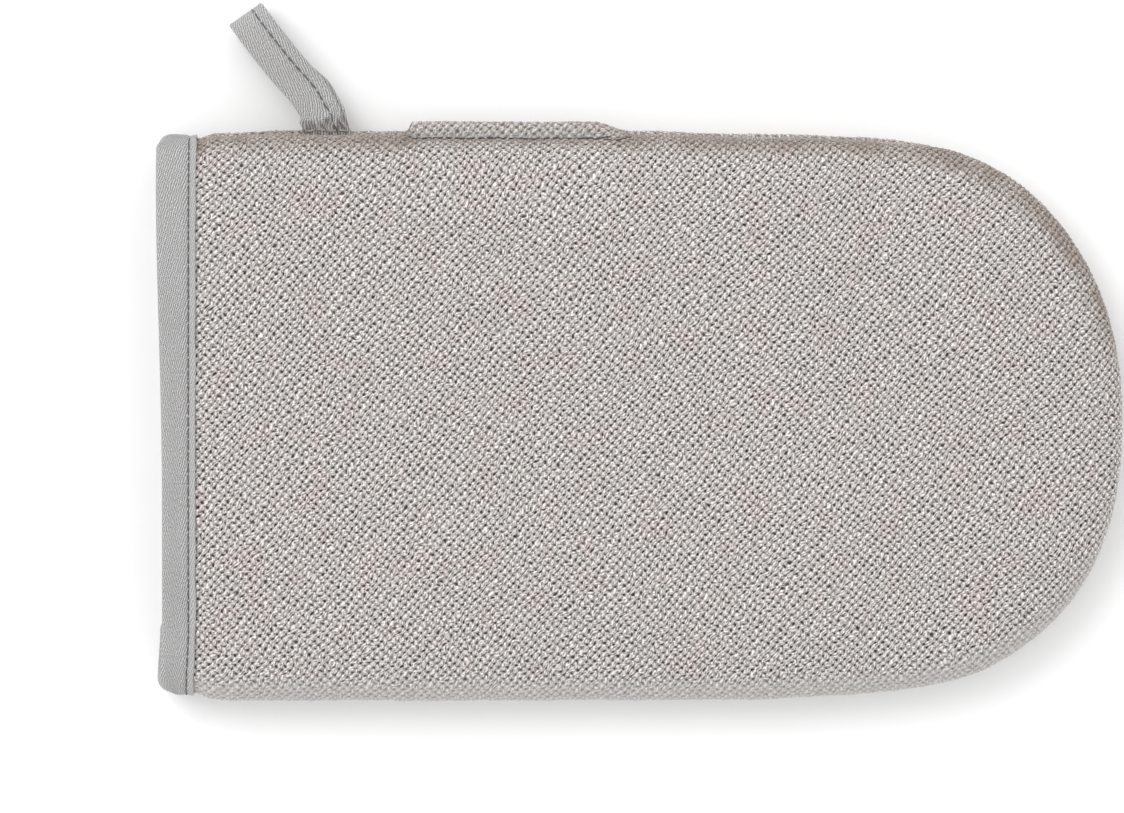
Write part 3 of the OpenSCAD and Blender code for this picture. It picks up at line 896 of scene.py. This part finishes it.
def plain_weave(finish, weft_level):
    """Pattern of a plain weave: its height from 0 to 1, the yarn cell's random number and the fibres."""
    u, v = finish.layer("cloth")
    i, j = finish.math("FLOOR", u), finish.math("FLOOR", v)
    across = finish.scale(finish.math("FRACT", u), 2.0, -1.0)
    along = finish.scale(finish.math("FRACT", v), 2.0, -1.0)
    odd = finish.math("FLOORED_MODULO", finish.plus(i, j), 2.0)
    warp = crown(finish, across, along)
    weft = finish.times(crown(finish, along, across), weft_level)
    even = finish.minus(1.0, odd)
    height = finish.plus(finish.times(warp, even), finish.times(weft, odd))
    chance = finish.random(i, j)
    warp_fibre, weft_fibre = (
        finish.noise(finish.join(finish.scale(u, by_u), finish.scale(v, by_v)), 1.0, 1.0)
        for by_u, by_v in ((9.0, 1.7), (1.7, 9.0))
    )
    fibre = finish.plus(finish.times(warp_fibre, even), finish.times(weft_fibre, odd))
    return height, chance, fibre


def weave_wave(finish, u, v, lean):
    """The same wave as weave_height(), before its crowns are filled out."""
    turn_u, turn_v = finish.scale(u, math.pi), finish.scale(v, math.pi)
    crowns = finish.times(finish.math("SINE", turn_u), finish.math("SINE", turn_v))
    ridges = finish.times(finish.math("COSINE", turn_u), finish.math("COSINE", turn_v))
    return crowns, finish.scale(ridges, lean, crowns)


def shell_finish():
    """Coarse plain weave of pale warm grey with faint pinkish clouds, painted shade in its pits, painted
    highlights on its crowns, and painted shade and light on its rolled edges.
    """
    finish = Finish("shell_weave", SHELL_COLOUR, 0.85, sheen=0.1)
    u, v = finish.layer("cloth")
    lean, _ = finish.layer("lean")
    # Painted shade on the +Y-facing roll and painted light on the -Y-facing roll
    shaded_roll, lit_roll = finish.layer("tone")
    slack_u = finish.noise(finish.join(finish.scale(u, 0.6), finish.scale(v, 0.6)), 1.0, 0.0)
    slack_v = finish.noise(finish.join(finish.scale(v, 0.6, 31.0), finish.scale(u, 0.6, 17.0)), 1.0, 0.0)
    u = finish.plus(u, finish.scale(slack_u, YARN_SLACK, -YARN_SLACK / 2))
    v = finish.plus(v, finish.scale(slack_v, YARN_SLACK, -YARN_SLACK / 2))
    crowns, wave = weave_wave(finish, u, v, lean)
    # Painted highlight: each crown's bright side, shifted to one side of the crown
    lit_u, lit_v = finish.scale(u, 1.0, HIGHLIGHT_SHIFT), finish.scale(v, 1.0, -HIGHLIGHT_SHIFT)
    _, lit = weave_wave(finish, lit_u, lit_v, lean)
    chance = finish.random(finish.math("FLOOR", u), finish.math("FLOOR", v))
    own = finish.times(finish.math("ABSOLUTE", crowns), finish.scale(chance, 0.5, -0.25))
    rising, falling = finish.plus(u, v), finish.minus(u, v)
    long = finish.scale(rising, 1.25)
    here, beside = (finish.noise(finish.join(finish.scale(falling, 1.5, shift), long), 1.0, 1.0)
                    for shift in (0.0, 0.5))
    fibre = finish.minus(here, beside)
    # Painted shade in waves across the weave: flat crown tops, pits narrow along V, and a painted shadow
    # on one side of each crown
    edges = 1.0
    for across, turn, strength in (
            (v, -50, 0.36), (u, 208, 0.2), (falling, 210, 0.34), (rising, -120, 0.18)):
        ripple = finish.math("COSINE", finish.scale(across, 2 * math.pi, math.radians(turn)))
        edges = finish.scale(ripple, strength * EDGE_SHADE, edges)
    place = finish.place()
    # Patchy strength for the painted shade on the roll
    patches = finish.range(finish.noise(place, 110.0, 2.0), 0.35, 0.65, 0.65, 1.2)
    shaded_roll = finish.times(shaded_roll, patches)
    clouds = finish.range(finish.noise(place, 120.0, 3.0), 0.5, 0.72, 0.0, 0.5)
    # The pinkish clouds are the cloth's own tone; the roll colours are painted shade and painted light
    colour = SHELL_COLOUR
    for amount, tone in ((clouds, SHELL_PINK), (shaded_roll, SHELL_ROLL_SHADE), (lit_roll, SHELL_ROLL_LIGHT)):
        colour = finish.mix(amount, colour, tone)
    # Painted shade in the pits and painted highlights on the crowns, times random tone per yarn and
    # fibre
    shade = finish.range(finish.plus(wave, own), -1.05, -0.3, *PIT_SHADE)
    painted_highlights = finish.range(finish.plus(lit, own), -0.3, 1.15, *CROWN_SHADE)
    for factor in (painted_highlights, finish.range(fibre, -0.3, 0.3, *FIBRE_SHADE), edges):
        shade = finish.times(shade, factor)
    # Weaker weave contrast under the painted roll shade and the painted roll light
    contrast = finish.times(finish.scale(shaded_roll, -0.25, 1.0), finish.scale(lit_roll, -0.6, 1.0))
    finish.tint_and_shade(colour, shade, contrast)
    finish.bump(finish.scale(fibre, 1.2, wave), 0.00018)
    return finish.material


def lining_finish():
    """Fine off-white cotton, with painted shade in its weave's hollows."""
    finish = Finish("lining_cotton", LINING_COLOUR, 0.9, sheen=0.1)
    height, chance, fibre = plain_weave(finish, 0.9)
    # Painted shade where the weave is low, times a random tone per yarn
    shade = finish.times(finish.range(height, 0.0, 0.8, 0.72, 1.05),
                         finish.range(chance, 0.0, 1.0, 0.94, 1.06))
    finish.tint_and_shade(LINING_COLOUR, shade)
    finish.bump(finish.scale(fibre, 0.2, height), 0.0001, 0.7)
    return finish.material


def twill_finish():
    """Grey twill tape with fine slanting ribs, painted shade in the ribs' hollows and at the loop's
    root, and painted light on the binding's strip beyond its stitches. Its cloth coordinates are
    millimetres.
    """
    finish = Finish("twill_tape", TAPE_COLOUR, 0.8, sheen=0.1)
    along, across = finish.layer("cloth")
    # Painted shade at the loop's root and painted light on the binding's strip beyond its stitches
    root_shade, flat = finish.layer("tone")
    slope = finish.plus(finish.scale(along, -0.54), finish.scale(across, 1.66))
    wander = finish.noise(finish.join(along, across), 0.6, 1.0)
    rib = finish.math("SINE", finish.scale(finish.plus(slope, wander), 2 * math.pi))
    picks = finish.math("SINE", finish.scale(finish.minus(finish.scale(along, 2.1), across), 6.0))
    height = finish.scale(picks, 0.4, rib)
    fibre = finish.noise(finish.join(finish.scale(along, 2.0), finish.scale(across, 6.0)), 1.0, 2.0)
    # Painted shade in the ribs' hollows, times random fibre tone
    shade = finish.times(finish.range(height, -1.3, 1.3, 0.52, 1.4),
                         finish.range(fibre, 0.3, 0.7, 0.62, 1.38))
    base = finish.mix(finish.noise(finish.place(), 60.0), TAPE_COLOUR, TAPE_WORN)
    base = finish.mix(root_shade, finish.mix(flat, base, TAPE_STRIP_LIGHT), TAPE_ROOT_SHADE)
    finish.tint_and_shade(base, shade, contrast=finish.scale(flat, -0.45, 1.0))
    finish.bump(finish.scale(fibre, 0.5, height), 0.00006, 0.8)
    return finish.material


def thread_finish(name, colour):
    """Two-ply sewing thread."""
    finish = Finish(name, colour, 0.6, sheen=0.05)
    strands = finish.noise(finish.place(), 2600.0, 1.0)
    finish.tint_and_shade(colour, finish.range(strands, 0.3, 0.7, 0.75, 1.15))
    finish.bump(strands, 0.00005, 0.6)
    return finish.material


def batting_finish():
    """Felted off-white fibre."""
    finish = Finish("felted_batting", BATTING_COLOUR, 0.95, sheen=0.2)
    fibre = finish.noise(finish.place(), 900.0, 4.0)
    finish.tint_and_shade(BATTING_COLOUR, finish.range(fibre, 0.3, 0.7, 0.85, 1.05))
    finish.bump(fibre, 0.0004, 0.7)
    return finish.material


def film_finish():
    """Crinkled silvery film."""
    finish = Finish("barrier_film", FILM_COLOUR, 0.32, metallic=1.0)
    finish.bump(finish.noise(finish.place(), 220.0, 3.0), 0.0003, 0.5)
    return finish.material


# ---- assembly


def wear(piece, slot_name, *nodes, body="mitt"):
    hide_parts(*nodes)
    if body:
        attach(piece, body)
    return piece


def build_mitt():
    """Every visual piece, each in the place of its CAD node."""
    weave, twill, cotton = shell_finish(), twill_finish(), lining_finish()
    felt, film = batting_finish(), film_finish()
    dark = thread_finish("dark_thread", DARK_COLOUR)
    shell_yarn = thread_finish("shell_thread", SHELL_THREAD_COLOUR)
    lining_yarn = thread_finish("lining_thread", LINING_THREAD_COLOUR)

    for side, word, samples in ((PALM, "palm", PALM_SAMPLES), (BACK, "back", BACK_SAMPLES)):
        step = YARN / samples
        shell = wear(ply_piece(f"{word}_shell_cloth", side, SHELL_PLY, weave, step, woven=True),
                     "shell_fabric", f"{word}_shell")
    for side, word in ((PALM, "palm"), (BACK, "back")):
        barrier = wear(ply_piece(f"{word}_heat_barrier_film", side, BARRIER_PLY, film, PLY_STEP),
                       "barrier_film", f"{word}_heat_barrier")
        batting = wear(ply_piece(f"{word}_batting_felt", side, BATTING_PLY, felt, PLY_STEP),
                       "batting", f"{word}_batting")
        lining = wear(ply_piece(f"{word}_lining_cloth", side, LINING_PLY, cotton, PLY_STEP,
                                inner_step=LINING_STEP), "lining_cotton", f"{word}_lining")

    binding, binding_thread, cut = binding_pieces(twill, dark)
    wear(binding, "twill_tape", "cuff_binding")
    wear(binding_thread, "dark_thread", "cuff_binding_stitches")

    lower = seam_row(-1, CUFF_STITCH_START, END_X)
    runs = [seam_row(1, CUFF_STITCH_START, LOOP_ROOT_X - LOOP_GAP),
            seam_row(1, LOOP_ROOT_X + LOOP_GAP, GAP_START - 4), seam_row(1, GAP_END + 6, END_X), lower]
    wear(seam_thread("side_seam_thread", runs, SEAM_STITCH_INSET, SEAM_THREAD, shell_yarn),
         "shell_thread", "side_seam_stitches")
    runs = [seam_row(1, CUFF_STITCH_START, END_X), lower]
    wear(seam_thread("lining_seam_thread", runs, LINING_STITCH_INSET, LINING_THREAD, lining_yarn),
         "lining_thread", "lining_seam_stitches")
    wear(gap_thread(dark), "dark_thread", "gap_closure_stitches")
    wear(loop_root_thread(shell_yarn), "shell_thread", "loop_root_stitches")

    strap, strap_thread, cut = loop_pieces(twill, dark)
    for piece, slot_name, node in ((strap, "twill_tape", "hanging_loop"),
                                   (strap_thread, "dark_thread", "loop_edge_stitches")):
        wear(piece, slot_name, node, body=None)
        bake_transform(piece)


# ---- light and camera

def build_studio():
    scene = bpy.context.scene
    scene.view_settings.view_transform = "Standard"
    world = bpy.data.worlds.new("studio")
    scene.world = world
    world.use_nodes = True
    sky = world.node_tree.nodes["Background"]
    sky.inputs["Color"].default_value = (1.0, 1.0, 1.0, 1)
    sky.inputs["Strength"].default_value = SKY_STRENGTH

    mesh = bpy.data.meshes.new("floor")
    half = FLOOR_SIZE / 2
    mesh.from_pydata([(-half, -half, 0), (half, -half, 0), (half, half, 0), (-half, half, 0)], [],
                     [(0, 1, 2, 3)])
    floor = bpy.data.objects.new("floor", mesh)
    scene.collection.objects.link(floor)
    mesh.materials.append(Finish("floor_paper", FLOOR_COLOUR, 0.9).material)

    sun = bpy.data.lights.new("key", "SUN")
    sun.energy, sun.angle = KEY_STRENGTH, KEY_SOFTNESS
    key = bpy.data.objects.new("key", sun)
    key.rotation_mode = "QUATERNION"
    key.rotation_quaternion = Vector(KEY_FROM).to_track_quat("Z", "Y")
    scene.collection.objects.link(key)


def build_camera():
    """Straight down on the mitt, from far enough for an almost flat view."""
    data = bpy.data.cameras.new("camera")
    data.lens = data.sensor_width * CAMERA_HEIGHT / FRAME_WIDTH
    camera = bpy.data.objects.new("camera", data)
    camera.location = (CAMERA_AIM[0], CAMERA_AIM[1], SEAM_Z * MM + CAMERA_HEIGHT)
    bpy.context.scene.collection.objects.link(camera)
    bpy.context.scene.camera = camera


SHELL_COLOUR = paint(182, 177, 174)
SHELL_PINK = paint(184, 170, 168)
# Painted shade for the +Y-facing roll and painted light for the -Y-facing roll
SHELL_ROLL_SHADE = paint(150, 140, 133)
SHELL_ROLL_LIGHT = paint(185, 182, 179)
TAPE_COLOUR = paint(160, 159, 159)
TAPE_WORN = paint(173, 172, 172)
# Painted light on the binding's strip beyond its stitches, and painted shade at the loop's root
TAPE_STRIP_LIGHT = paint(174, 172, 171)
TAPE_ROOT_SHADE = paint(96, 90, 87)
LINING_COLOUR = paint(214, 211, 205)
BATTING_COLOUR = paint(226, 222, 212)
FILM_COLOUR = paint(205, 206, 209)
DARK_COLOUR = paint(84, 82, 86)
SHELL_THREAD_COLOUR = paint(150, 142, 138)
LINING_THREAD_COLOUR = paint(205, 202, 196)
FLOOR_COLOUR = (0.95, 0.95, 0.95)
# Painted shade in the weave's pits and painted highlights on its crowns; the fibre shade is random tone
PIT_SHADE = (0.12, 1.0)
CROWN_SHADE = (0.8, 1.55)
FIBRE_SHADE = (0.38, 1.62)
# How far the painted highlight sits to one side of each crown
HIGHLIGHT_SHIFT = 0.12
YARN_SLACK = 0.45
# Strength of the painted shade waves across the weave
EDGE_SHADE = 0.36

SKY_STRENGTH = 1.05
KEY_STRENGTH = 1.0
KEY_SOFTNESS = math.radians(38)
KEY_FROM = (-0.6, 0.6, 1.0)
FLOOR_SIZE = 6.0

CAMERA_HEIGHT = 2.4
FRAME_WIDTH = 0.2796
CAMERA_AIM = (-0.01915, 0.00236)

build_mitt()
build_studio()
build_camera()
